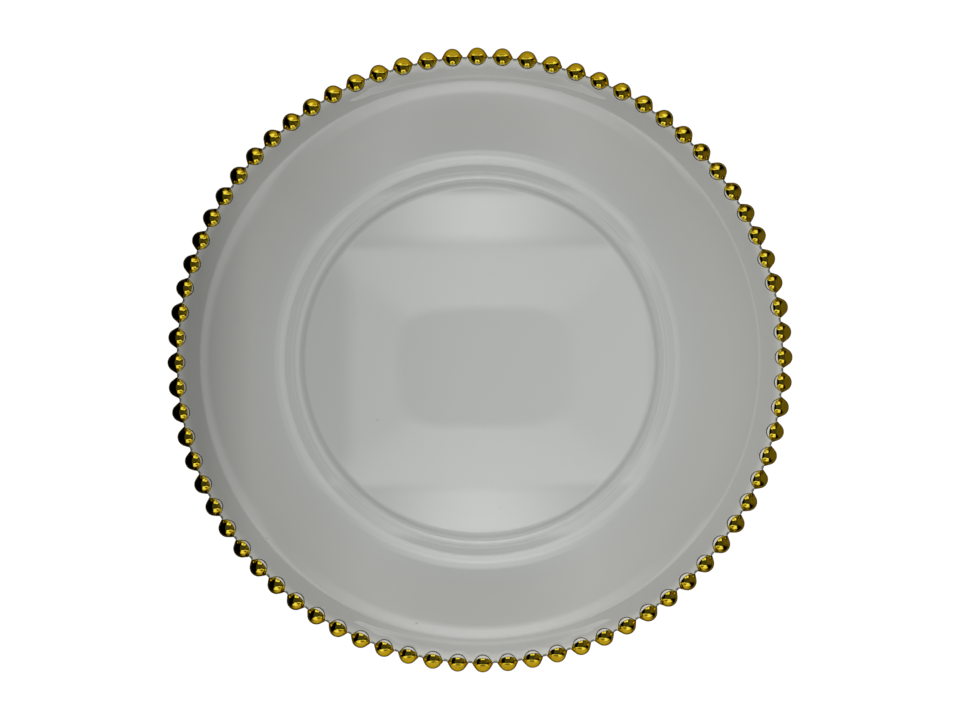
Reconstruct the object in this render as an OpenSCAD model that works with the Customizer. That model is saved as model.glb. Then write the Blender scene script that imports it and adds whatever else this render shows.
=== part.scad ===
// Charger plate: a pressed clear-glass plate with a ring of glass beads moulded into its rim,
// and a coat of gold lustre fired onto each bead.
// Millimetres, +Z up. The origin is at the centre of the plate, on the surface that it stands on.

/* [Plate] */
// Overall width across the gilded beads
plate_d = 330; // [300:1:380]
// Width of the flat well floor, up to where the wall starts
well_d = 207; // [190:1:225]
// Width of the rim band, from the top of the wall to the edge between the beads
rim_w = 11.3; // [7:0.1:16]
// Height that the wall climbs above the well floor
wall_rise = 12; // [8:0.1:18]
// Glass thickness of the well floor
floor_t = 3.8; // [3:0.1:6]
// Glass thickness of the rim band
rim_t = 2.6; // [2:0.1:4]

/* [Foot ring] */
// Distance from the start of the wall in to the middle of the foot ring
foot_inset = 7; // [6:0.1:20]
// Width of the flat face that the foot ring stands on
foot_face_w = 3; // [2:0.1:4.5]
// Width of the foot ring where it grows out of the plate
foot_root_w = 6; // [5:0.1:8]
// Height of the foot ring below the plate's underside
foot_h = 1.2; // [0.6:0.1:2.5]

/* [Beads] */
// Number of beads round the rim, an even number
bead_count = 76; // [64:2:84]
// Diameter of a bead, measured over its gold coat
bead_d = 9.55; // [7:0.05:11]
// Distance that the edge between two beads lies inside the circle of bead centres
edge_inset = 0.4; // [0:0.05:1]
// Radius at the end of the drawn-out tip on each side of a bead
tip_r = 0.3; // [0.2:0.05:0.5]
// Depth that the end of a tip is sunk in the glass of the edge
tip_bury = 0.3; // [0.25:0.05:0.6]

/* [Gold coat] */
// Thickness of the gold coat
coat_t = 0.12; // [0.08:0.01:0.2]
// Fitting clearance between the coat and the glass under it
coat_gap = 0.01; // [0.005:0.005:0.02]
// Width of the clear crescent left on a bead's inner side, seen from above
clear_w = 1.7; // [1:0.01:2.2]
// Lean of the coat's edge in degrees: the gold is brushed on from above, so it reaches further in on top
coat_lean = 25; // [10:1:32]

/* [Hidden] */
beads_per_node = 2;
node_count = bead_count / beads_per_node;
coat_names = [for (k = [1 : node_count]) str("gold_coat_pair_", k < 10 ? "0" : "", k)];

// Counts that set how finely the curves are drawn
ring_fn = 180;
bead_fn = 64;
wall_steps = 14;

// The root of a tip inside its bead, along the tip's axis and in radius, as shares of the glass bead's radius
tip_root_share = 0.76;
tip_root_r_share = 0.61;
// How much of the free way to the middle between two beads a tip fills
tip_reach_share = 0.6;

// Radii of the plate's section, from the rim inwards
bead_r = bead_d / 2;
core_r = bead_r - coat_t - coat_gap;
bead_circle_r = plate_d / 2 - bead_r;
edge_r = bead_circle_r - edge_inset;
shoulder_r = edge_r - rim_w;
well_r = well_d / 2;
wall_w = shoulder_r - well_r;
foot_r = well_r - foot_inset;

// Heights of the plate's section, from the foot upwards
floor_z = foot_h + floor_t;
shoulder_z = floor_z + wall_rise;
edge_z = shoulder_z - rim_t / 2;

// The tips, measured from the centre of their bead
half_pitch = PI * bead_circle_r / bead_count;
tip_root = core_r * tip_root_share;
tip_root_r = core_r * tip_root_r_share;
tip_reach = core_r + (half_pitch - core_r) * tip_reach_share;
tip_back = edge_inset + tip_bury + tip_r;
tip_tilt = atan2(tip_back, tip_reach);
tip_len = norm([tip_back, tip_reach]) - tip_root;

// Distance from a bead's centre back to the leaning plane that the coat ends on
clear_x = bead_r - clear_w;
coat_back = clear_x * cos(coat_lean) - sqrt(pow(bead_r, 2) - pow(clear_x, 2)) * sin(coat_lean);

// The wall's S-curve: level at both ends and steepest halfway
function ease(x) = x * x * (3 - 2 * x);
function top_z(x) = floor_z + wall_rise * ease(x);
function glass_t(x) = floor_t + (rim_t - floor_t) * ease(x);
function wall_point(x, depth_share) =
    [well_r + wall_w * x, top_z(x) - glass_t(x) * depth_share];

// Half of the plate's section: the underside outwards, round the edge, and back over the top
module plate_section() {
    polygon(concat(
        [[0, floor_z], [0, foot_h]],
        [for (k = [0 : wall_steps]) wall_point(k / wall_steps, 1)],
        [[edge_r, shoulder_z - rim_t], [edge_r, shoulder_z]],
        [for (k = [wall_steps : -1 : 0]) wall_point(k / wall_steps, 0)]
    ));
}

// Section of the foot ring, with its root run up into the glass of the floor
module foot_section() {
    polygon([
        [foot_r - foot_face_w / 2, 0],
        [foot_r + foot_face_w / 2, 0],
        [foot_r + foot_root_w / 2, foot_h],
        [foot_r + foot_root_w / 2, foot_h + floor_t / 2],
        [foot_r - foot_root_w / 2, foot_h + floor_t / 2],
        [foot_r - foot_root_w / 2, foot_h]
    ]);
}

// The rim band alone, grown by a clearance: it is cut out of the coats where the glass passes through
module rim_band(grow) {
    rotate_extrude($fn = ring_fn)
        translate([shoulder_r, shoulder_z - rim_t - grow])
            square([rim_w + grow, rim_t + 2 * grow]);
}

// A tip: the glass of a bead drawn out along the rim until it sinks into the edge
module tip(grow) {
    rotate([0, 0, tip_tilt])
        rotate([-90, 0, 0])
            translate([0, 0, tip_root])
                cylinder(h = tip_len + grow, r1 = tip_root_r + grow, r2 = tip_r + grow, $fn = bead_fn);
}

// A bead with its two tips, about its own centre, with +X pointing out of the plate.
// The ball's poles lie square to the plane that the coat ends on, so that the coat's edge is one of its
// circles of latitude.
module bead_form(grow) {
    rotate([0, 90 - coat_lean, 0]) sphere(r = core_r + grow, $fn = bead_fn);
    tip(grow);
    mirror([0, 1, 0]) tip(grow);
}

// Puts its children at one place of the bead circle
module at_bead(i) {
    rotate([0, 0, 360 * i / bead_count])
        translate([bead_circle_r, 0, edge_z])
            children();
}

module glass_plate() {
    color([0.68, 0.69, 0.67, 0.6])
        union() {
            rotate_extrude($fn = ring_fn) plate_section();
            rotate_extrude($fn = ring_fn) foot_section();
            for (i = [0 : bead_count - 1]) at_bead(i) bead_form(0);
        }
}

// The part of a bead that stays clear: a block on its inner side, leaning in under the bead
module clear_side() {
    block = bead_d + tip_reach;
    rotate([0, -coat_lean, 0])
        translate([-coat_back - block, -block / 2, -block / 2])
            cube(block);
}

// One coat: a thin skin over the outer part of a bead and its tips, open where the rim band enters
module gold_coat(i) {
    difference() {
        at_bead(i)
            difference() {
                bead_form(coat_gap + coat_t);
                bead_form(coat_gap);
                clear_side();
            }
        rim_band(coat_gap);
    }
}

module gold_coat_pair(k) {
    color([0.78, 0.64, 0.08])
        for (j = [1 : beads_per_node]) gold_coat(beads_per_node * k - j);
}

glass_plate();
for (k = [1 : node_count])
    gold_coat_pair(k);
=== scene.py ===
"""A charger plate of pressed clear glass with a beaded rim in gold lustre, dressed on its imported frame.

The plate is one closed glass surface: a flat well, a foot ring, a sloping wall and a flat rim that swells
into seventy-six beads. Each bead carries its own thin coat of fired gold. Sizes are in millimetres and
become metres where a mesh is made.
"""

import logging
import math
from dataclasses import dataclass, field
from enum import Enum

import bpy
import numpy as np
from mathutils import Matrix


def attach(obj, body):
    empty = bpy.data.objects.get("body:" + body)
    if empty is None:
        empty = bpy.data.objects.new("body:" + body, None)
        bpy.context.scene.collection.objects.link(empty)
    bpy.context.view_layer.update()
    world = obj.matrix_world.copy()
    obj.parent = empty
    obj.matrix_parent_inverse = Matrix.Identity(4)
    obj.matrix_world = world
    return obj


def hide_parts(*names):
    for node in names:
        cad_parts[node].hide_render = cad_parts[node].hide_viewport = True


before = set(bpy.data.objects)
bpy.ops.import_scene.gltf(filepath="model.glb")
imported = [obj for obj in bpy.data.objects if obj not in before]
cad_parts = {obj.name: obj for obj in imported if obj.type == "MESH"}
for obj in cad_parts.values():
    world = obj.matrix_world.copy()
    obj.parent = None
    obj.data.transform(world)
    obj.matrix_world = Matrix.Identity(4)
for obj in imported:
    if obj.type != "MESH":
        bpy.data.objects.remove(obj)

LOG = logging.getLogger("charger_plate")
MM = 0.001
WHITE = "#FFFFFF"
Rgb = tuple[float, float, float, float]
Table = tuple[tuple[float, float], ...]

WALL_H = 265.0
# Heights in millimetres and the radiance there: a wall's two end panels, and a wall without light
PANELS: Table = ((57.0, 0.0), (75.0, 0.9), (WALL_H, 1.05))
DARK: Table = ((0.0, 0.0),)


def colour(code: str) -> Rgb:
    """Turns an sRGB hex value into linear light.

    Args:
        code: six hex digits after a hash sign.

    Returns:
        Red, green, blue and an alpha of one.
    """
    parts = [int(code[i : i + 2], 16) / 255 for i in (1, 3, 5)]
    linear = [c / 12.92 if c <= 0.04045 else ((c + 0.055) / 1.055) ** 2.4 for c in parts]
    return (linear[0], linear[1], linear[2], 1.0)


def add_node(
    tree: bpy.types.NodeTree, kind: str, settings: dict | None = None, inputs: dict | None = None
) -> bpy.types.Node:
    """Adds one shader node, with its settings and what its sockets hold or are linked to.

    Args:
        tree: the node tree that gets the node.
        kind: the node's type name.
        settings: values of the node's own properties.
        inputs: by socket name or number, either a value or the output socket that is linked to it.

    Returns:
        The new node.
    """
    node = tree.nodes.new(kind)
    for name, value in (settings or {}).items():
        setattr(node, name, value)
    for name, value in (inputs or {}).items():
        if isinstance(value, bpy.types.NodeSocket):
            tree.links.new(value, node.inputs[name])
        else:
            node.inputs[name].default_value = value
    return node


def add_math(tree: bpy.types.NodeTree, operation: str, first: object, second: object) -> bpy.types.NodeSocket:
    """Adds a node that works out one number from two, each of them a value or a socket."""
    return add_node(tree, "ShaderNodeMath", {"operation": operation}, {0: first, 1: second}).outputs[0]


def add_mix(
    tree: bpy.types.NodeTree, factor: object, first: object, second: object, kind: str = "RGBA"
) -> bpy.types.NodeSocket:
    """Adds a node that goes from one colour or number to another as the factor goes from 0 to 1."""
    node = add_node(tree, "ShaderNodeMix", {"data_type": kind}, {"Factor": factor, "A": first, "B": second})
    return node.outputs[2 if kind == "RGBA" else 0]


def new_material(name: str) -> tuple[bpy.types.Material, bpy.types.NodeTree, bpy.types.Node]:
    """Makes an empty node material.

    Args:
        name: the material's name.

    Returns:
        The material, its node tree and its output node.
    """
    material = bpy.data.materials.new(name)
    material.use_nodes = True
    tree = material.node_tree
    tree.nodes.clear()
    return material, tree, tree.nodes.new("ShaderNodeOutputMaterial")


def add_ramp(
    tree: bpy.types.NodeTree, factor: bpy.types.NodeSocket, stops: list[tuple[float, Rgb]]
) -> bpy.types.NodeSocket:
    """Adds a colour ramp.

    Args:
        tree: the node tree that gets the ramp.
        factor: the socket that drives it.
        stops: places from 0 to 1, each with its colour.

    Returns:
        The ramp's colour output.
    """
    node = add_node(tree, "ShaderNodeValToRGB", inputs={"Fac": factor})
    elements = node.color_ramp.elements
    elements[0].position, elements[0].color = stops[0]
    elements[1].position, elements[1].color = stops[-1]
    for place, shade in stops[1:-1]:
        elements.new(place).color = shade
    return node.outputs["Color"]


def add_mesh(name: str, points: np.ndarray, faces: list[np.ndarray], smooth: bool = True) -> bpy.types.Object:
    """Puts a surface into the scene as one object at the origin.

    Args:
        name: the object's name.
        points: an array of places in millimetres, one row each.
        faces: arrays of corner numbers, each with one row per face and three or four columns.
        smooth: whether the surface is shaded as a smooth one.

    Returns:
        The new object.
    """
    mesh = bpy.data.meshes.new(name)
    rows = [row for array in faces for row in array.tolist()]
    mesh.from_pydata((points * MM).tolist(), [], rows)
    mesh.polygons.foreach_set("use_smooth", np.full(len(mesh.polygons), smooth))
    mesh.update()
    piece = bpy.data.objects.new(name, mesh)
    bpy.context.scene.collection.objects.link(piece)
    return piece


def store(piece: bpy.types.Object, name: str, values: np.ndarray) -> None:
    """Stores one number per point of a piece, for its material to read."""
    layer = piece.data.attributes.new(name, "FLOAT", "POINT")
    layer.data.foreach_set("value", values.ravel().astype(np.float32))


def grid_faces(rows: int, columns: int, start: int = 0, closed: bool = False) -> np.ndarray:
    """Numbers the four-sided faces of a grid of points that is stored row by row.

    Args:
        rows: how many rows of points there are.
        columns: how many points a row has.
        start: the number of the grid's first point.
        closed: whether the last column joins the first.

    Returns:
        An array with four corner numbers per face.
    """
    numbers = start + np.arange(rows * columns).reshape(rows, columns)
    if closed:
        numbers = np.hstack([numbers, numbers[:, :1]])
    corners = (numbers[:-1, :-1], numbers[:-1, 1:], numbers[1:, 1:], numbers[1:, :-1])
    return np.stack([c.ravel() for c in corners], axis=1)


def ease(x: np.ndarray) -> np.ndarray:
    """Rises from 0 to 1 with level ends: three x squared less two x cubed, with x held from 0 to 1."""
    x = np.clip(x, 0.0, 1.0)
    return x * x * (3.0 - 2.0 * x)


def read_table(table: Table, place: np.ndarray) -> np.ndarray:
    """Reads a table of places and values, going straight from each entry to the next."""
    places, values = zip(*table)
    return np.interp(place, places, values)


def soft_max(a: np.ndarray, b: np.ndarray, width: float) -> np.ndarray:
    """The larger of two curves, rounded where they cross.

    It is half of the sum of both and the root of their squared distance plus the squared width. The last
    term takes off what this adds at the crossing, so that the blended curve goes through it.

    Args:
        a: one curve.
        b: the other curve.
        width: how wide the rounding is, in the curves' own units.

    Returns:
        The blended curve.
    """
    apart = np.abs(a - b)
    return 0.5 * (a + b + np.sqrt(apart**2 + width**2)) - 0.5 * width * width / (apart + width)


@dataclass(frozen=True)
class PlateSizes:
    """The driving sizes of the plate, in millimetres, and what follows from them."""

    plate_d: float = 330.0
    wall_rise: float = 12.4
    floor_t: float = 3.4
    rim_t: float = 2.6
    foot_h: float = 1.2
    bead_count: int = 76
    bead_d: float = 9.55
    edge_inset: float = 0.4
    coat_room: float = 0.03

    @property
    def bead_circle_r(self) -> float:
        """Radius of the circle that the bead centres lie on."""
        return self.plate_d / 2 - self.bead_d / 2

    @property
    def core_r(self) -> float:
        """Radius of a bead's glass under its coat."""
        return self.bead_d / 2 - self.coat_room

    @property
    def floor_z(self) -> float:
        """Height of the well's surface."""
        return self.foot_h + self.floor_t

    @property
    def shoulder_z(self) -> float:
        """Height of the rim's upper surface."""
        return self.floor_z + self.wall_rise

    @property
    def bead_z(self) -> float:
        """Height of the bead centres, halfway through the rim."""
        return self.shoulder_z - self.rim_t / 2

    @property
    def half_pitch(self) -> float:
        """Half the way from one bead to the next, along the bead circle."""
        return math.pi * self.bead_circle_r / self.bead_count


@dataclass(frozen=True)
class BeadSection:
    """The bead's section at each place along the rim.

    Across the rim a bead is a circle. Its outermost point follows the ball, then the line of the drawn-out
    tip, and then the rim's edge. Its radius follows the ball, then the tip's own taper, and then half the
    rim's thickness, so that between two beads the circle becomes the rounded edge of the rim. Where no tip
    is, its line lies far below the others.
    """

    sizes: PlateSizes
    tip_start: float = 3.4
    tip_ease_w: float = 0.6
    tip_edge: float = 3.43
    edge_fall: float = 1.43
    hook_start: float = 4.75
    hook: float = 0.25
    tip_girth: float = 3.53
    girth_fall: float = 1.42
    blend: float = 0.16
    no_tip: float = -20.0

    def eased_in(self, line: np.ndarray, past: np.ndarray) -> np.ndarray:
        """Brings a line of the tip up from far below the ball, by how far past its start it is."""
        return np.where(past > 0, line * past + self.no_tip * (1 - past), self.no_tip)

    def outer(self, t: np.ndarray, grow: float = 0.0) -> tuple[np.ndarray, np.ndarray]:
        """Works out the section's outermost point and its radius.

        Args:
            t: distance along the rim from the bead's centre.
            grow: how far the surface lies outside the glass.

        Returns:
            The outermost point, measured outwards from the bead circle, and the circle's radius.
        """
        t = np.abs(t)
        radius = self.sizes.core_r + grow
        ball = np.sqrt(np.maximum(radius**2 - t**2, 0.0))
        past = ease((t - self.tip_start) / self.tip_ease_w)
        along = t - self.tip_start
        hooked = self.hook * np.maximum(t - self.hook_start, 0.0) ** 2
        edge_line = self.tip_edge - self.edge_fall * along - hooked + grow * math.hypot(1.0, self.edge_fall)
        girth_line = self.tip_girth - self.girth_fall * along + grow * math.hypot(1.0, self.girth_fall)
        edge = soft_max(ball, self.eased_in(edge_line, past), self.blend)
        girth = soft_max(ball, self.eased_in(girth_line, past), self.blend)
        edge = soft_max(edge, np.full_like(t, grow - self.sizes.edge_inset), self.blend)
        girth = soft_max(girth, np.full_like(t, self.sizes.rim_t / 2 + grow), self.blend)
        return edge, girth


def ring_points(radius: np.ndarray, angle: np.ndarray, height: np.ndarray) -> np.ndarray:
    """Turns radius, angle and height into places: radius times cosine, radius times sine, and height."""
    parts = np.broadcast_arrays(radius * np.cos(angle), radius * np.sin(angle), height)
    return np.stack([p.ravel() for p in parts], axis=1)


@dataclass
class GlassPlate:
    """The pressed glass body, as one closed surface."""

    sizes: PlateSizes
    section: BeadSection
    column_shares: tuple[float, ...] = (
        0.055, 0.165, 0.275, 0.385, 0.485, 0.575, 0.65, 0.715, 0.78, 0.84, 0.9, 0.965,
    )
    inner_step: int = 8
    wall_slopes: Table = (
        (104.6, 0.0), (105.1, 0.175), (108.0, 0.225), (110.3, 0.268), (112.5, 0.3), (140.0, 0.335),
        (142.0, 0.318), (147.5, 0.255), (148.0, 0.08), (148.4, 0.0),
    )
    sink_slopes: Table = ((92.0, 0.0), (93.5, -0.1), (96.1, -0.11), (96.6, 0.21), (98.4, 0.23), (98.9, 0.0))
    foot_down: Table = ((92.9, 0.0), (93.8, 0.55), (94.8, 0.55), (95.7, 0.0))
    foot_up: Table = ((96.3, 0.0), (96.6, 0.21), (98.4, 0.23), (98.8, 0.45), (99.8, 0.45), (100.8, 0.0))
    well_shares: tuple[float, ...] = (0.12, 0.3, 0.5, 0.7, 0.85, 0.95)
    flat_shares: tuple[float, ...] = (0.0, 0.5, 0.8, 0.94)
    bulb_rows: int = 26
    row_step: float = 0.55
    cone_coarser: float = 10.0
    foot_coarser: float = 0.6
    bend_coarser: float = 0.4
    slope_samples: int = 4001
    guard: float = 0.25
    join_gap: float = 1.6
    join_r: float = 151.6
    # Where the painted shade on the rounded edge between the beads starts, along the rim and round the
    # section
    edge_from: float = 4.9
    edge_ease_w: float = 0.7
    edge_turn_from: float = -0.1
    edge_turn_w: float = 0.5
    name: str = "pressed_glass_plate"
    piece: bpy.types.Object | None = field(default=None, repr=False)

    def climb(self, slopes: Table, r: np.ndarray) -> np.ndarray:
        """Adds up a table of slopes from the middle out to a radius: the area under its straight lines."""
        fine = np.linspace(slopes[0][0], slopes[-1][0], self.slope_samples)
        slope = read_table(slopes, fine)
        total = np.concatenate([[0.0], np.cumsum((slope[1:] + slope[:-1]) / 2) * (fine[1] - fine[0])])
        return np.interp(r, fine, total)

    def wall_share(self, r: np.ndarray) -> np.ndarray:
        """How much of the wall's rise lies inside a radius. The wall is a cone between two bends."""
        climbed = self.climb(self.wall_slopes, np.append(r, self.join_r))
        return climbed[:-1] / climbed[-1]

    def top_height(self, r: np.ndarray) -> np.ndarray:
        """Height of the upper surface: the well's level and the wall's rise, less the sink over the foot.

        The sink is the shallow groove that pressed glass gets over a thick place.
        """
        s = self.sizes
        return s.floor_z + s.wall_rise * self.wall_share(r) + self.climb(self.sink_slopes, r)

    def under_height(self, r: np.ndarray) -> np.ndarray:
        """Height of the underside.

        It lies one glass thickness below the upper surface, and the foot ring hangs below it by its height.
        Two tables of slopes lead down its inner flank and up its outer one.
        """
        s = self.sizes
        share = self.wall_share(r)
        base = s.floor_z + s.wall_rise * share - (s.floor_t + (s.rim_t - s.floor_t) * share)
        down, up = (self.climb(table, np.append(r, self.join_r)) for table in (self.foot_down, self.foot_up))
        return base - s.foot_h * (down[:-1] / down[-1] - up[:-1] / up[-1])

    def profile_radii(self, under: bool) -> np.ndarray:
        """Lists the radii at which the inner part has a ring of points, from near the centre outwards."""
        start, cone, cone_end, corner, end = (self.wall_slopes[k][0] for k in (0, 4, 5, -3, -1))
        wall = [start - self.guard] + self.spaced(start, cone)[:-1]
        wall += self.spaced(cone, cone_end, self.cone_coarser)[:-1] + self.spaced(cone_end, corner)[:-1]
        wall += self.spaced(corner, end, self.bend_coarser) + [end + self.guard, self.join_r]
        low, high = self.sink_slopes[0][0], self.sink_slopes[-1][0]
        if under:
            low, high = self.foot_down[0][0], self.foot_up[-1][0]
        flat = [share * low for share in self.well_shares]
        foot = [low - self.guard] + self.spaced(low, high, self.foot_coarser) + [high + self.guard]
        return np.array(flat + foot + wall)

    def spaced(self, low: float, high: float, coarser: float = 1.0) -> list[float]:
        """Lists radii from one to another, about one row step apart or that many times coarser."""
        return np.linspace(low, high, max(2, round((high - low) / (self.row_step * coarser)) + 1)).tolist()

    def ring_rows(self) -> tuple[np.ndarray, np.ndarray, np.ndarray, np.ndarray]:
        """Works out the beaded ring: the underside of the rim, round each bead's section, and the rim's top.

        Returns:
            Radius and height, one row per line round the rim, the angle of each column, and how far each
            point is on the rounded edge between two beads, from 0 to 1, which sets the glass's painted shade
            there.
        """
        s = self.sizes
        shares = np.array(self.column_shares)
        shares = np.concatenate([-shares[::-1], shares])
        angle = (math.pi / s.bead_count * (2 * np.arange(s.bead_count)[:, None] + shares[None, :])).ravel()
        t = np.tile(shares * s.half_pitch, s.bead_count)
        edge, girth = self.section.outer(t)
        centre = edge - girth
        half = s.rim_t / 2
        root = np.arcsin(np.clip(half / girth, -1.0, 1.0))
        turn = np.linspace(-1.0, 1.0, self.bulb_rows + 1)[:, None] * (math.pi - root)[None, :]
        bulb_x = centre + girth * np.cos(turn)
        bulb_z = girth * np.sin(turn)
        start = self.join_r + self.join_gap - s.bead_circle_r
        steps = np.array(self.flat_shares)[:, None]
        flat_x = start + (bulb_x[0] - start) * steps
        flat_z = np.full_like(flat_x, half)
        x = np.vstack([flat_x, bulb_x, flat_x[::-1]])
        z = np.vstack([-flat_z, bulb_z, flat_z])
        between = ease((np.abs(t) - self.edge_from) / self.edge_ease_w)[None, :]
        outside = ease((np.cos(turn) - self.edge_turn_from) / self.edge_turn_w)
        painted_shade_between_beads = np.vstack([np.zeros_like(flat_x), between * outside, np.zeros_like(flat_x)])
        return s.bead_circle_r + x, s.bead_z + z, angle, painted_shade_between_beads

    def build(self) -> bpy.types.Object:
        """Makes the mesh: the ring of beads, the inner part with both poles, and the seams between them."""
        radius, height, angle, painted_shade_between_beads = self.ring_rows()
        ring = ring_points(radius, angle[None, :], height)
        rows, columns = radius.shape
        faces = [grid_faces(rows, columns, 0, True)]
        inner_angle = angle[:: self.inner_step]
        parts, start = [ring], len(ring)
        for under in (True, False):
            radii = self.profile_radii(under)
            heights = self.under_height(radii) if under else self.top_height(radii)
            inner = ring_points(radii[:, None], inner_angle[None, :], heights[:, None])
            pole = start + len(inner)
            count = len(inner_angle)
            quads = grid_faces(len(radii), count, start, True)
            first = start + np.arange(count)
            fan = np.stack([np.full(count, pole), np.roll(first, -1), first], axis=1)
            last = start + (len(radii) - 1) * count + np.arange(count)
            outer = np.arange(columns) + (0 if under else (rows - 1) * columns)
            seam = self.seam_faces(last, outer)
            faces += [quads[:, ::-1], fan[:, ::-1], seam] if not under else [quads, fan, seam[:, ::-1]]
            parts += [inner, np.array([[0.0, 0.0, heights[0]]])]
            start = pole + 1
        self.piece = add_mesh(self.name, np.vstack(parts), faces)
        edge = np.zeros(sum(len(part) for part in parts))
        edge[: painted_shade_between_beads.size] = painted_shade_between_beads.ravel()
        store(self.piece, "painted_shade_between_beads", edge)
        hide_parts("glass_plate")
        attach(self.piece, "root")
        return self.piece

    def seam_faces(self, inner: np.ndarray, outer: np.ndarray) -> np.ndarray:
        """Joins a ring of few points to a ring of many with triangles.

        Each inner point takes the outer points up to halfway to its neighbour.

        Args:
            inner: the numbers of the inner ring's points.
            outer: the numbers of the outer ring's points, a whole number of times as many.

        Returns:
            An array with three corner numbers per face.
        """
        step = self.inner_step
        k = np.arange(len(outer))
        nearest = inner[((k + step // 2) // step) % len(inner)]
        after = np.roll(outer, -1)
        wide = np.stack([nearest, outer, after], axis=1)
        middle = outer[step // 2 :: step]
        narrow = np.stack([inner, middle, np.roll(inner, -1)], axis=1)
        return np.vstack([wide, narrow])

    def dress(self, finish: "PressedGlass") -> None:
        """Gives the plate its glass."""
        self.piece.data.materials.append(finish.material())


@dataclass
class GoldCoats:
    """The coats of fired gold, two neighbouring beads to a piece."""

    sizes: PlateSizes
    section: BeadSection
    along: int = 31
    across: int = 29
    gap: float = 0.008
    top_reach: float = 3.78
    under_reach: float = 0.85
    further_up: float = 0.43
    further_left: float = 0.16
    unevenness: float = 0.08
    wave_share: float = 0.5
    wave_turns: tuple[float, float] = (1.1, 1.9)
    bow_half: float = 5.35
    # Painted shade: the run-out brown is carried over the last part of each tip, which darkens it
    tip_run_out_and_shade: float = 0.17
    tip_back: float = 0.01
    tip_samples: int = 600
    feather: float = 0.45
    thinning: float = 0.6
    seed: int = 11
    pieces: list[bpy.types.Object] = field(default_factory=list, repr=False)

    def painted_edges(self, t: np.ndarray, angle: float, waves: np.ndarray) -> tuple[np.ndarray, np.ndarray]:
        """Places of the coat's two inner edges, on top of the bead and under it.

        The gold is brushed on from above, so it reaches further in on top. Seen from above each edge is half
        an ellipse from tip to tip. On top it reaches furthest in at the top and left of the plate, with a
        little hand-painted unevenness.

        Args:
            t: distance along the rim from the bead's centre.
            angle: the bead's angle round the plate.
            waves: three random numbers for this bead.

        Returns:
            Both edges, measured outwards from the bead circle, at each t.
        """
        reach = self.top_reach + self.further_up * math.sin(angle) - self.further_left * math.cos(angle)
        bow = np.sqrt(np.maximum(1.0 - (t / self.bow_half) ** 2, 0.0))
        slow, fast = self.wave_turns
        ripple = waves[0] + self.wave_share * (waves[1] * np.sin(slow * t) + waves[2] * np.cos(fast * t))
        return -(reach + self.unevenness * ripple) * bow, self.under_reach * bow

    def one_coat(self, index: int, waves: np.ndarray) -> tuple[np.ndarray, list[np.ndarray], np.ndarray]:
        """Makes one coat as a thin closed shell.

        The shell runs along the bead from tip to tip, and across it from the painted edge under the bead,
        round the outside, to the painted edge on top. At each tip it shrinks to a point.

        Args:
            index: the bead's number, counted round from the +X axis.
            waves: three random numbers for this bead.

        Returns:
            The points, the faces and each point's distance from the painted edge.
        """
        s = self.sizes
        angle = 2 * math.pi * index / s.bead_count
        fine = np.linspace(0.0, s.half_pitch, self.tip_samples)
        bare = self.painted_edges(fine, angle, waves)[0] - self.section.outer(fine, s.coat_room)[0]
        reach = fine[int(np.argmax(bare > 0.0))] - self.tip_back
        t = reach * np.sin(np.linspace(-0.5, 0.5, self.along) * math.pi)
        layers = []
        top, under = self.painted_edges(t, angle, waves)
        for grow in (s.coat_room, self.gap):
            edge, girth = self.section.outer(t, grow)
            centre = edge - girth
            rim = math.pi - np.arcsin(np.clip((s.rim_t / 2 + self.gap) / girth, -1.0, 1.0))
            upper = np.minimum(np.arccos(np.clip((top - centre) / girth, -1.0, 1.0)), rim)
            lower = -np.minimum(np.arccos(np.clip((under - centre) / girth, -1.0, 1.0)), rim)
            upper[[0, -1]] = lower[[0, -1]] = 0.0
            half, middle = (upper - lower) / 2, (upper + lower) / 2
            spread = half[:, None] * np.linspace(-1.0, 1.0, self.across)[None, :]
            turn = middle[:, None] + spread
            away = (half[:, None] - np.abs(spread)) * girth[:, None]
            # Near each tip the distance is cut short, so the run-out brown paints shade over the tip
            away = np.minimum(away, self.tip_run_out_and_shade * (reach - np.abs(t))[:, None])
            thin = (grow - self.gap) * (1.0 - ease(away / self.feather)) * self.thinning
            x = centre[:, None] + (girth[:, None] - thin) * np.cos(turn)
            z = (girth[:, None] - thin) * np.sin(turn)
            round_angle = angle + np.broadcast_to(t[:, None], x.shape) / s.bead_circle_r
            points = ring_points(s.bead_circle_r + x, round_angle, s.bead_z + z)
            inner = slice(self.across, -self.across)
            keep = np.vstack([points[:1], points[inner], points[-1:]])
            distance = np.concatenate([[0.0], away.ravel()[inner], [0.0]])
            layers.append((keep, distance))
        faces = self.shell_faces(len(layers[0][0]))
        points = np.vstack([layers[0][0], layers[1][0]])
        return points, faces, np.concatenate([layers[0][1], layers[1][1]])

    def shell_faces(self, layer: int) -> list[np.ndarray]:
        """Numbers the faces of one shell: two layers with a pole at each end, and the bands between them."""
        rows, columns = self.along - 2, self.across
        out: list[np.ndarray] = []
        k = np.arange(columns - 1)
        for start in (0, layer):
            quads = grid_faces(rows, columns, start + 1)
            last = start + 1 + (rows - 1) * columns
            low = np.stack([np.full_like(k, start), start + 2 + k, start + 1 + k], axis=1)
            high = np.stack([np.full_like(k, start + layer - 1), last + k, last + 1 + k], axis=1)
            parts = [quads, low, high]
            out += parts if start else [part[:, ::-1] for part in parts]
        for side in (0, columns - 1):
            line = np.concatenate([[0], 1 + side + columns * np.arange(rows), [layer - 1]])
            band = np.stack([line[:-1], line[1:], line[1:] + layer, line[:-1] + layer], axis=1)
            out.append(band[:, ::-1] if side == 0 else band)
        return out

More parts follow.
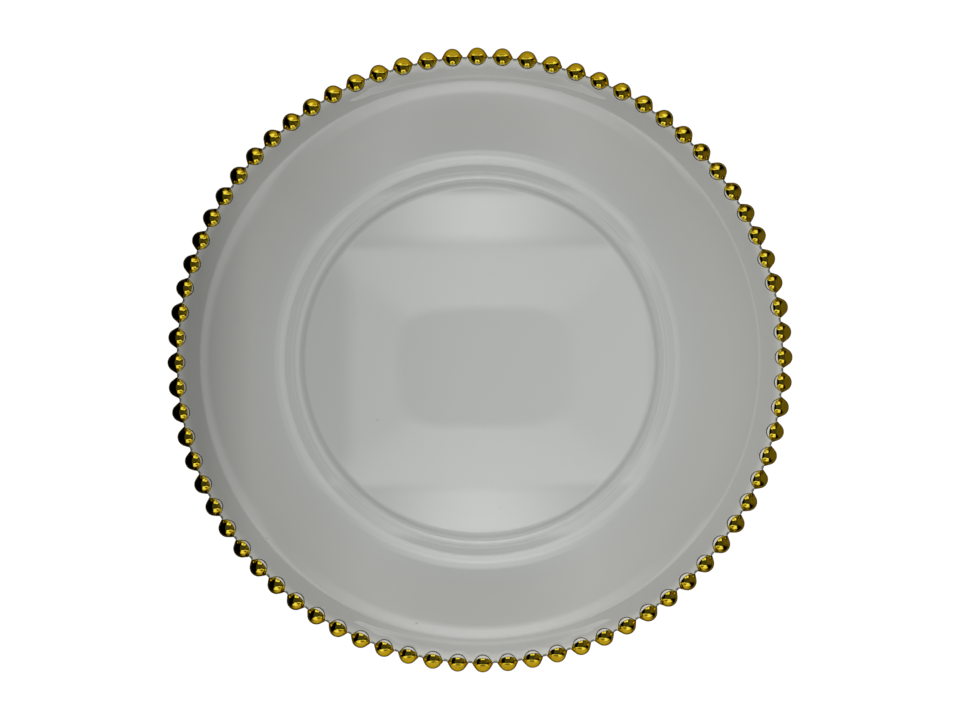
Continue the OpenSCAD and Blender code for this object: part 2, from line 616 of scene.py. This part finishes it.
    def build(self) -> list[bpy.types.Object]:
        """Makes every pair of coats and lets each stand for its node."""
        random = np.random.default_rng(self.seed)
        waves = random.uniform(-1.0, 1.0, (self.sizes.bead_count, 3))
        for pair in range(1, self.sizes.bead_count // 2 + 1):
            points, faces, edges = [], [], []
            start = 0
            for index in (2 * pair - 2, 2 * pair - 1):
                coat_points, coat_faces, distance = self.one_coat(index, waves[index])
                points.append(coat_points)
                faces += [f + start for f in coat_faces]
                edges.append(distance)
                start += len(coat_points)
            node = f"gold_coat_pair_{pair:02d}"
            piece = add_mesh(f"lustre_coats_{pair:02d}", np.vstack(points), faces)
            store(piece, "from_edge", np.concatenate(edges))
            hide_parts(node)
            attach(piece, "root")
            self.pieces.append(piece)
        return self.pieces

    def dress(self, finish: "GoldLustre") -> None:
        """Gives every coat the same fired gold."""
        material = finish.material()
        for piece in self.pieces:
            piece.data.materials.append(material)


@dataclass(frozen=True)
class PressedGlass:
    """Clear soda-lime glass, pressed in a mould and fire polished."""

    tint: str = "#F6F8F6"
    seed_tint: str = "#20221F"
    # Painted shade: the darker colour that the rounded edge between the beads takes
    edge_tint: str = "#8A8C87"
    ior: float = 1.52
    roughness: float = 0.0
    wave_mm: float = 38.0
    wave_depth_mm: float = 0.03
    seed_cell_mm: float = 26.0
    seed_share: float = 0.016
    seed_core: float = 0.8

    def material(self) -> bpy.types.Material:
        """Makes the glass: it bends light, mirrors faintly and holds a few dark seeds.

        Its surface waves a little, and the rounded edge between the beads is darkened in its colour: a
        painted shade for the dark look of that edge.
        """
        material, tree, output = new_material("pressed_soda_lime_glass")
        place = add_node(tree, "ShaderNodeTexCoord").outputs["Object"]
        waves = add_node(
            tree,
            "ShaderNodeTexNoise",
            inputs={"Vector": place, "Scale": 1 / (self.wave_mm * MM), "Detail": 1.5, "Roughness": 0.4},
        ).outputs["Fac"]
        bump = add_node(tree, "ShaderNodeBump", inputs={"Height": waves, "Distance": self.wave_depth_mm * MM})
        cell = {"Vector": place, "Scale": 1 / (self.seed_cell_mm * MM)}
        cells = add_node(tree, "ShaderNodeTexVoronoi", inputs=cell).outputs["Distance"]
        core = self.seed_share * self.seed_core
        seeds = add_ramp(tree, cells, [(core, colour(self.seed_tint)), (self.seed_share, colour(self.tint))])
        # The rounded edge between the beads is mixed towards edge_tint: painted shade, not a tint of the
        # glass
        edge = add_node(tree, "ShaderNodeAttribute", {"attribute_name": "painted_shade_between_beads"}).outputs["Fac"]
        glass = add_node(
            tree,
            "ShaderNodeBsdfPrincipled",
            inputs={
                "Base Color": add_mix(tree, edge, seeds, colour(self.edge_tint)),
                "Roughness": self.roughness,
                "IOR": self.ior,
                "Transmission Weight": 1.0,
                "Normal": bump.outputs["Normal"],
            },
        )
        tree.links.new(glass.outputs["BSDF"], output.inputs["Surface"])
        return material


@dataclass(frozen=True)
class GoldLustre:
    """Bright gold lustre, brushed on and fired: a mirror film that turns red-brown where it runs out, with
    that brown also painted over the bead tips as shade.
    """

    gold: str = "#F2DA42"
    deep_gold: str = "#E9CC36"
    # Brown of the thin gold at its painted edge, also used as painted shade on the bead tips
    run_out_and_tip_shade: str = "#553612"
    edge_tint: str = "#9A7440"
    roughness: float = 0.05
    ripple_mm: float = 2.4
    ripple_depth_mm: float = 0.012
    deep_to: float = 0.35
    bright_from: float = 0.65
    run_out_mm: float = 0.22

    def material(self) -> bpy.types.Material:
        """Makes the gold: mirror metal with faint ripples, two close shades and a brown run-out that also
        paints shade on the tips.
        """
        material, tree, output = new_material("fired_gold_lustre")
        place = add_node(tree, "ShaderNodeTexCoord").outputs["Object"]
        cloud = add_node(
            tree,
            "ShaderNodeTexNoise",
            inputs={"Vector": place, "Scale": 1 / (self.ripple_mm * MM), "Detail": 2.0},
        ).outputs["Fac"]
        shades = [(self.deep_to, colour(self.deep_gold)), (self.bright_from, colour(self.gold))]
        shade = add_ramp(tree, cloud, shades)
        edge = add_node(tree, "ShaderNodeAttribute", {"attribute_name": "from_edge"}).outputs["Fac"]
        run_out_and_tip_shade = add_node(
            tree,
            "ShaderNodeMapRange",
            {"interpolation_type": "SMOOTHSTEP"},
            {"Value": edge, "From Max": self.run_out_mm, "To Min": 1.0, "To Max": 0.0},
        ).outputs["Result"]
        depth = self.ripple_depth_mm * MM
        bump = add_node(tree, "ShaderNodeBump", inputs={"Height": cloud, "Distance": depth})
        gold = add_node(
            tree,
            "ShaderNodeBsdfPrincipled",
            inputs={
                "Base Color": add_mix(tree, run_out_and_tip_shade, shade, colour(self.run_out_and_tip_shade)),
                "Metallic": 1.0,
                "Roughness": self.roughness,
                "Specular Tint": colour(self.edge_tint),
                "Normal": bump.outputs["Normal"],
            },
        )
        tree.links.new(gold.outputs["BSDF"], output.inputs["Surface"])
        return material


@dataclass(frozen=True)
class TopCamera:
    """The camera that looks straight down on the plate, as the photograph does."""

    above_beads: float = 1000.0
    plate_half_px: float = 312.4
    image_w_px: float = 960.0
    image_h_px: float = 720.0
    centre_px: tuple[float, float] = (480.05, 359.95)
    roll_degrees: float = -0.52
    sensor_mm: float = 36.0
    near_clip: float = 10.0

    def build(self, sizes: PlateSizes) -> bpy.types.Object:
        """Makes the camera and hands it to the scene.

        Args:
            sizes: the plate's sizes, which set the scale of the image.

        Returns:
            The camera's object.
        """
        mm_per_px = sizes.plate_d / 2 / self.plate_half_px
        lens = bpy.data.cameras.new("top_camera")
        lens.sensor_width = self.sensor_mm
        lens.lens = self.sensor_mm * self.above_beads / (self.image_w_px * mm_per_px)
        lens.clip_start = self.near_clip * MM
        camera = bpy.data.objects.new("top_camera", lens)
        across = (self.image_w_px / 2 - self.centre_px[0]) * mm_per_px
        up = (self.centre_px[1] - self.image_h_px / 2) * mm_per_px
        camera.location = (across * MM, up * MM, (sizes.bead_z + self.above_beads) * MM)
        camera.rotation_euler = (0.0, 0.0, math.radians(self.roll_degrees))
        bpy.context.scene.collection.objects.link(camera)
        bpy.context.scene.camera = camera
        return camera


class Side(Enum):
    """The four sides of the light box, as the image shows them."""

    TOP = "top"
    BOTTOM = "bottom"
    LEFT = "left"
    RIGHT = "right"


def lit_foot(glow: float, lit_h: float = 55.0, dark_h: float = 95.0, dim: float = 0.05) -> Table:
    """Lists the lowest heights of a hood with a lit foot, each with its radiance.

    Args:
        glow: the radiance of the foot.
        lit_h: how far over the wall the foot is fully lit.
        dark_h: how far over the wall it has fallen off.
        dim: the radiance that is left there.

    Returns:
        The start of the hood's table.
    """
    return ((WALL_H, glow), (WALL_H + lit_h, glow), (WALL_H + dark_h, dim))


@dataclass(frozen=True)
class SideLight:
    """How bright one side of the light box is.

    Each table holds heights in millimetres and the radiance there. The upright wall has a low glow along it,
    a tall patch in its middle and a tall panel towards each end. In the hood, the part below the patch's
    height is bright in the middle only.
    """

    low: Table
    patch: Table
    panels: Table
    hood: Table
    patch_half_w: float = 1000.0
    patch_z: float = 720.0
    patch_fade_h: float = 40.0
    wide_share: float = 0.75
    wall_patch_half_w: float = 50.0
    low_half_w: float = 85.0
    low_fade_w: float = 80.0
    panel_from: float = 45.0
    panel_to: float = 145.0
    panel_fade_w: float = 30.0

    def wall_glow(self, along: np.ndarray, height: np.ndarray) -> np.ndarray:
        """Radiance of the upright wall.

        Away from the wall's middle the low glow is eased off, the patch is a bell curve, and the panels are
        eased in and off again.
        """
        out = np.abs(along)
        low = read_table(self.low, height) * (1.0 - ease((out - self.low_half_w) / self.low_fade_w))
        patch = read_table(self.patch, height) * np.exp(-((out / self.wall_patch_half_w) ** 2))
        panels = read_table(self.panels, height) * ease((out - self.panel_from) / self.panel_fade_w)
        panels *= 1.0 - ease((out - self.panel_to) / self.panel_fade_w)
        return low + patch + panels

    def hood_glow(self, along: np.ndarray, height: np.ndarray) -> np.ndarray:
        """Radiance of the hood: the table's, times a bell curve along the side that eases off with height."""
        bell = np.exp(-((along / self.patch_half_w) ** 2))
        above = self.wide_share * ease((height - self.patch_z) / self.patch_fade_h)
        return read_table(self.hood, height) * (bell + (1.0 - bell) * above)


@dataclass
class LightBox:
    """The light box round the plate. Only the glass and the gold see it, as reflections.

    Four upright walls stand round the plate. Above them a hood tapers to the camera's opening. Its upper
    part is lit from behind, and so is its foot at the top and the bottom. A lid closes the opening round the
    lens. Only clear mirror reflections in the glass see the hood and the lid, so above the walls the gold
    mirrors a dark room.
    """

    left_x: float = -228.0
    right_x: float = 216.0
    half_y: float = 190.0
    wall_h: float = WALL_H
    opening_x: tuple[float, float] = (-91.0, 102.0)
    opening_y: tuple[float, float] = (-74.0, 58.0)
    opening_z: float = 1000.0
    box_floor_z: float = -0.4
    lights: dict[Side, SideLight] = field(
        default_factory=lambda: {
            Side.TOP: SideLight(
                low=(
                    (0.0, 0.32), (20.0, 0.42), (60.0, 0.5), (80.0, 0.4),
                    (110.0, 0.1), (205.0, 0.1), (235.0, 0.6), (WALL_H, 0.9),
                ),
                patch=((95.0, 0.0), (130.0, 0.8), (WALL_H, 0.9)),
                panels=PANELS,
                hood=(
                    *lit_foot(0.75), (540.0, 0.05), (570.0, 2.3), (690.0, 2.3),
                    (735.0, 1.2), (780.0, 1.4), (1000.0, 1.45),
                ),
                patch_half_w=80.0,
            ),
            Side.BOTTOM: SideLight(
                low=(
                    (0.0, 0.4), (20.0, 0.52), (60.0, 0.56), (75.0, 0.4),
                    (100.0, 0.05), (195.0, 0.05), (225.0, 0.9), (WALL_H, 1.3),
                ),
                patch=((120.0, 0.0), (160.0, 0.5), (WALL_H, 0.55)),
                panels=PANELS,
                hood=(
                    *lit_foot(1.1), (540.0, 0.05), (570.0, 2.3), (700.0, 2.1),
                    (735.0, 1.55), (1000.0, 1.35),
                ),
                patch_half_w=80.0,
            ),
            Side.LEFT: SideLight(
                low=DARK, patch=DARK, panels=DARK,
                hood=((540.0, 0.0), (780.0, 0.05), (850.0, 0.7), (1000.0, 0.75)),
            ),
            Side.RIGHT: SideLight(
                low=((0.0, 0.13),), patch=DARK, panels=DARK,
                hood=((650.0, 0.1), (700.0, 0.8)),
            ),
        }
    )
    floor_glow: Table = ((-171.0, 0.01), (-46.0, 0.16))
    lid_glow: Table = ((-91.0, 0.4), (-20.0, 0.6))
    dim_shade: str = "#FFEC9C"
    dim_to: float = 0.5
    white_from: float = 0.7
    lid_gap: float = 0.5
    lid_edge: float = 0.86
    lid_edge_w: float = 0.2
    lid_power: int = 4
    corner_power: float = 12.0
    least_weight: float = 1e-9
    row_h: float = 15.0
    columns: int = 41

    def edges(self, z: np.ndarray) -> list[np.ndarray]:
        """Places of the left, right, near and far sides at a height: upright, then tapering evenly."""
        share = np.maximum((z - self.wall_h) / (self.opening_z - self.wall_h), 0.0)
        starts = (self.left_x, self.right_x, -self.half_y, self.half_y)
        return [start + (end - start) * share for start, end in zip(starts, self.opening_x + self.opening_y)]

    def corners(self, z: float) -> dict[str, np.ndarray]:
        """Works out the box's four corners at a height."""
        left, right, near, far = self.edges(z)
        places = {"tl": (left, far, z), "tr": (right, far, z), "br": (right, near, z), "bl": (left, near, z)}
        return {name: np.array(place) for name, place in places.items()}

    def side_points(self, side: Side, low: float, high: float) -> np.ndarray:
        """Lists the grid points of one side between two heights, row by row from the lower edge.

        Args:
            side: the side of the box.
            low: height of the lower edge.
            high: height of the upper edge.

        Returns:
            An array of rows, columns and the three coordinates.
        """
        ends = {
            Side.TOP: ("tl", "tr"),
            Side.RIGHT: ("tr", "br"),
            Side.BOTTOM: ("br", "bl"),
            Side.LEFT: ("bl", "tl"),
        }
        first, last = ends[side]
        share = np.linspace(0.0, 1.0, self.columns)[:, None]
        rows = []
        for height in np.linspace(low, high, round((high - low) / self.row_h) + 1):
            place = self.corners(float(height))
            rows.append(place[first] + (place[last] - place[first]) * share)
        return np.array(rows)

    def level_points(self, height: float) -> np.ndarray:
        """Lists the grid points of the box's cross section at a height, row by row from the near side."""
        corners = self.corners(height)
        across = np.linspace(corners["bl"][0], corners["br"][0], self.columns)
        deep = np.linspace(corners["bl"][1], corners["tl"][1], self.columns)
        x, y = np.meshgrid(across, deep)
        return np.stack([x, y, np.full_like(x, height)], axis=-1)

    def card(
        self, name: str, points: np.ndarray, glow: np.ndarray, material: bpy.types.Material
    ) -> bpy.types.Object:
        """Makes one card of the box, unseen by the camera and by the floor's light.

        Args:
            name: the card's name.
            points: its grid points, by row and column.
            glow: the radiance at each point.
            material: the light that shows it.

        Returns:
            The card's object.
        """
        faces = grid_faces(points.shape[0], points.shape[1])
        card = add_mesh(name, points.reshape(-1, 3), [faces], smooth=False)
        store(card, "glow", glow)
        card.data.materials.append(material)
        card.visible_camera = False
        card.visible_diffuse = False
        card.visible_shadow = False
        card.visible_volume_scatter = False
        return card

    def card_light(self, mirror_only: bool) -> bpy.types.Material:
        """Makes the light of the cards, which rays that have been reflected at least once can see.

        Its dim part is warm where the gold mirrors it, and white in clear glass.

        Args:
            mirror_only: whether only rays that left a perfectly clear surface see it.

        Returns:
            The material. It reads its radiance from the card's glow.
        """
        material, tree, output = new_material("backlit_card_in_glass" if mirror_only else "backlit_card")
        path = add_node(tree, "ShaderNodeLightPath")
        gate = path.outputs["Glossy Depth"]
        if mirror_only:
            gate = add_math(tree, "MULTIPLY", gate, path.outputs["Is Singular Ray"])
        glow = add_node(tree, "ShaderNodeAttribute", {"attribute_name": "glow"}).outputs["Fac"]
        light = add_node(tree, "ShaderNodeEmission", inputs={"Strength": glow})
        if not mirror_only:
            shades = [(self.dim_to, colour(self.dim_shade)), (self.white_from, colour(WHITE))]
            shade = add_ramp(tree, glow, shades)
            seen = add_mix(tree, path.outputs["Is Singular Ray"], shade, colour(WHITE))
            tree.links.new(seen, light.inputs["Color"])
        clear = add_node(tree, "ShaderNodeBsdfTransparent")
        mixed = add_node(
            tree,
            "ShaderNodeMixShader",
            inputs={0: gate, 1: clear.outputs["BSDF"], 2: light.outputs["Emission"]},
        )
        tree.links.new(mixed.outputs["Shader"], output.inputs["Surface"])
        material.cycles.emission_sampling = "NONE"
        return material

    def overhead_glow(self, points: np.ndarray) -> np.ndarray:
        """Works out the radiance over the plate, for points of the hood and the lid.

        Each point's place is taken as a share of the box's half width and half depth at its height. Raised to
        a power, the two shares weigh the upright sides' tables against each other, which rounds the corners.
        On the lid a rounded square measure of the two shares eases from the lid's own glow to the sides'.

        Args:
            points: places in millimetres, by row and column.

        Returns:
            The radiance at each point.
        """
        x, y, z = points[..., 0], points[..., 1], np.minimum(points[..., 2], self.opening_z)
        left, right, near, far = self.edges(z)
        share_x = (2 * x - left - right) / (right - left)
        share_y = (2 * y - near - far) / (far - near)
        weight_x, weight_y = np.abs(share_x) ** self.corner_power, np.abs(share_y) ** self.corner_power
        side_glow = {side: light.hood_glow for side, light in self.lights.items()}
        glow_x = np.where(x > 0, side_glow[Side.RIGHT](y, z), side_glow[Side.LEFT](y, z))
        glow_y = np.where(y > 0, side_glow[Side.TOP](x, z), side_glow[Side.BOTTOM](x, z))
        sides = (glow_x * weight_x + glow_y * weight_y) / (weight_x + weight_y + self.least_weight)
        measure = (share_x**self.lid_power + share_y**self.lid_power) ** (1 / self.lid_power)
        out = ease((measure - self.lid_edge) / self.lid_edge_w)
        lid = read_table(self.lid_glow, x) * (1 - out) + sides * out
        return np.where(points[..., 2] > self.opening_z, lid, sides)

    def build(self) -> None:
        """Makes the walls, the hood, the lid and the floor that the gold mirrors."""
        for_all, for_glass = self.card_light(False), self.card_light(True)
        for side, light in self.lights.items():
            axis = 0 if side in (Side.TOP, Side.BOTTOM) else 1
            wall = self.side_points(side, self.box_floor_z, self.wall_h)
            hood = self.side_points(side, self.wall_h, self.opening_z)
            self.card(f"box_{side.value}_wall", wall, light.wall_glow(wall[..., axis], wall[..., 2]), for_all)
            self.card(f"box_{side.value}_hood", hood, self.overhead_glow(hood), for_glass)
        floor = self.level_points(self.box_floor_z)
        floor_card = self.card("box_floor", floor, read_table(self.floor_glow, floor[..., 0]), for_all)
        floor_card.visible_transmission = False
        lid = self.level_points(self.opening_z + self.lid_gap)
        self.card("box_lid", lid, self.overhead_glow(lid), for_glass)


@dataclass(frozen=True)
class PaleFloor:
    """The pale floor: white where it is seen directly, and the box's soft greys through glass.

    The greys go by distance from the middle: the shade under the well with a darker ring under the foot, the
    shade under the wall and the rim, the lit paper just outside the plate, and the dark room beyond. They are
    a little lighter to the right and at the bottom, and fall off under the left of the rim.
    """

    half_size: float = 3000.0
    below_foot: float = 0.02
    white: str = "#FBFBFA"
    under_well: str = "#A1A3A1"
    under_foot: str = "#989A98"
    under_wall: str = "#9F9E9C"
    beside: str = "#BDBBB6"
    room: str = "#3C3D3B"
    ramp_r: float = 250.0
    lean: tuple[float, float, float] = (0.72, -0.48, 0.0)
    left_shade: float = 0.74
    left_from: float = -150.0
    left_to: float = -122.0

    def grey(self, tree: bpy.types.NodeTree) -> bpy.types.NodeSocket:
        """Makes the tone that the floor has through the glass."""
        place = add_node(tree, "ShaderNodeTexCoord").outputs["Object"]
        away = add_node(tree, "ShaderNodeVectorMath", {"operation": "LENGTH"}, {0: place}).outputs["Value"]
        share = add_math(tree, "DIVIDE", away, self.ramp_r * MM)
        rings = (
            (93.4, self.under_well), (94.6, self.under_foot), (96.6, self.under_foot),
            (98.0, self.under_well), (102.0, self.under_well), (124.0, self.under_wall),
            (158.0, self.under_wall), (163.0, self.beside), (179.0, self.beside), (187.0, self.room),
        )
        tone = add_ramp(tree, share, [(r / self.ramp_r, colour(code)) for r, code in rings])
        lean = {0: place, 1: self.lean}
        across = add_node(tree, "ShaderNodeVectorMath", {"operation": "DOT_PRODUCT"}, lean).outputs["Value"]
        slope = add_math(tree, "ADD", across, 1.0)
        x = add_node(tree, "ShaderNodeSeparateXYZ", inputs={"Vector": place}).outputs["X"]
        places = {"Value": x, "From Min": self.left_from * MM, "From Max": self.left_to * MM}
        left = add_node(tree, "ShaderNodeMapRange", inputs={**places, "To Min": self.left_shade})
        level = add_math(tree, "MULTIPLY", slope, left.outputs["Result"])
        scaled = add_node(tree, "ShaderNodeVectorMath", {"operation": "SCALE"}, {0: tone, "Scale": level})
        return scaled.outputs["Vector"]

    def build(self) -> bpy.types.Object:
        """Makes the floor, a hair's breadth below the plane that the foot ring stands on."""
        h, z = self.half_size, -self.below_foot
        points = np.array([(-h, -h, z), (h, -h, z), (h, h, z), (-h, h, z)])
        floor = add_mesh("pale_floor", points, [np.array([[0, 1, 2, 3]])], smooth=False)
        material, tree, output = new_material("matt_paper_floor")
        path = add_node(tree, "ShaderNodeLightPath")
        tone = add_mix(tree, path.outputs["Is Transmission Ray"], colour(self.white), self.grey(tree))
        paper = add_node(tree, "ShaderNodeBsdfDiffuse", inputs={"Color": tone})
        tree.links.new(paper.outputs["BSDF"], output.inputs["Surface"])
        floor.data.materials.append(material)
        floor.visible_glossy = False
        return floor


@dataclass(frozen=True)
class StudioAir:
    """The soft light all round, which each kind of ray meets at its own level."""

    direct: float = 1.0
    on_surfaces: float = 1.25
    reflected: float = 0.06
    through_glass: float = 0.12

    def build(self) -> None:
        """Makes the world's light."""
        world = bpy.data.worlds.new("studio_air")
        bpy.context.scene.world = world
        world.use_nodes = True
        tree = world.node_tree
        tree.nodes.clear()
        path = add_node(tree, "ShaderNodeLightPath")
        level = self.through_glass
        for gate, value in (
            ("Glossy Depth", self.reflected),
            ("Is Diffuse Ray", self.on_surfaces),
            ("Is Camera Ray", self.direct),
        ):
            level = add_mix(tree, path.outputs[gate], level, value, "FLOAT")
        air = add_node(tree, "ShaderNodeBackground", inputs={"Color": colour(WHITE), "Strength": level})
        output = add_node(tree, "ShaderNodeOutputWorld")
        tree.links.new(air.outputs["Background"], output.inputs["Surface"])


def main() -> None:
    """Builds the camera, the plate, its coats and the stage, and reports each piece."""
    logging.basicConfig(level=logging.INFO, format="%(name)s: %(message)s")
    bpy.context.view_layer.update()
    sizes = PlateSizes()
    section = BeadSection(sizes)
    bpy.context.scene.view_settings.view_transform = "Standard"
    TopCamera().build(sizes)
    plate = GlassPlate(sizes, section)
    plate.build()
    plate.dress(PressedGlass())
    plate.piece.visible_diffuse = False
    plate.piece.visible_shadow = False
    coats = GoldCoats(sizes, section)
    coats.build()
    coats.dress(GoldLustre())
    for piece in (plate.piece, *coats.pieces):
        LOG.info("%s: %d faces", piece.name, len(piece.data.polygons))
    PaleFloor().build()
    LightBox().build()
    StudioAir().build()


if __name__ == "__main__":
    main()
